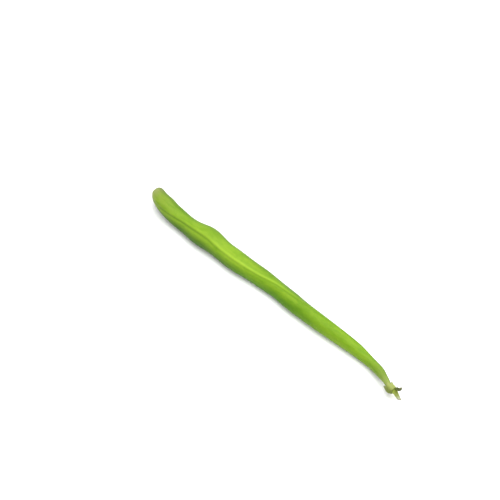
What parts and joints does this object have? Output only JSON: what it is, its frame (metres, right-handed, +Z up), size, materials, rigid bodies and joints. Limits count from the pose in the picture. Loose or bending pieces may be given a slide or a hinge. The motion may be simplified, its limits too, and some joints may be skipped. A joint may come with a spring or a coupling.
{
  "type": "green bean",
  "caption": "Fresh-picked green bean pod with a curled beak at its blossom end, and a calyx, a bracteole and a short torn stalk at the other, lying on its belly.",
  "frame": {"origin": "on the table, under the middle of the bean's bounding box", "axes": "+X along the bean from its blossom end to its stalk, +Z up from the table, +Y to the side that the beak curls to"},
  "size_m": [0.1372, 0.0118, 0.0087],
  "materials": {
    "pod_skin": "satin",
    "calyx_skin": "satin",
    "bracteole_skin": "satin",
    "stalk_skin": "satin"
  },
  "bodies": {
    "root": {"pod": "pod_skin", "calyx": "calyx_skin", "bracteole": "bracteole_skin", "stalk": "stalk_skin"}
  },
  "joints": []
}
